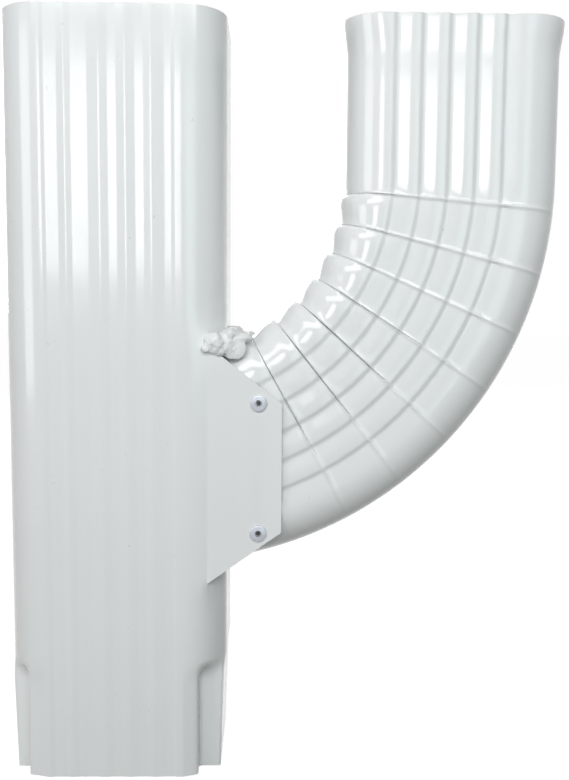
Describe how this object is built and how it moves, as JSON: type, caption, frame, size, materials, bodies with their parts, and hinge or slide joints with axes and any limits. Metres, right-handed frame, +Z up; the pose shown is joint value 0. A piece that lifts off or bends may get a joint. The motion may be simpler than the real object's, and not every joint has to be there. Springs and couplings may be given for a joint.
{
  "type": "downspout y connector",
  "caption": "Rectangular downspout junction: a grooved straight tube with a crimped outlet and a pleated side elbow riveted into flaps cut from its side.",
  "frame": {"origin": "centre of the straight tube's crimped lower end, on the plane of its edge", "axes": "+Z up the straight tube, +X from the tube towards the side elbow, -Y is the front shown in the picture"},
  "size_m": [0.2074, 0.0638, 0.285],
  "materials": {
    "white_enamel": "baked white gloss enamel on aluminium sheet",
    "white_sealant": "satin cured sealant",
    "bare_rivet": "bare bright aluminium",
    "mandrel_steel": "drawn steel wire"
  },
  "bodies": {
    "root": {"straight_tube": "white_enamel", "branch_elbow": "white_enamel", "joint_sealant": "white_sealant", "front_upper_rivet": "bare_rivet", "front_upper_mandrel": "mandrel_steel", "back_upper_rivet": "bare_rivet", "back_upper_mandrel": "mandrel_steel", "front_lower_rivet": "bare_rivet", "front_lower_mandrel": "mandrel_steel", "back_lower_rivet": "bare_rivet", "back_lower_mandrel": "mandrel_steel"}
  },
  "joints": []
}
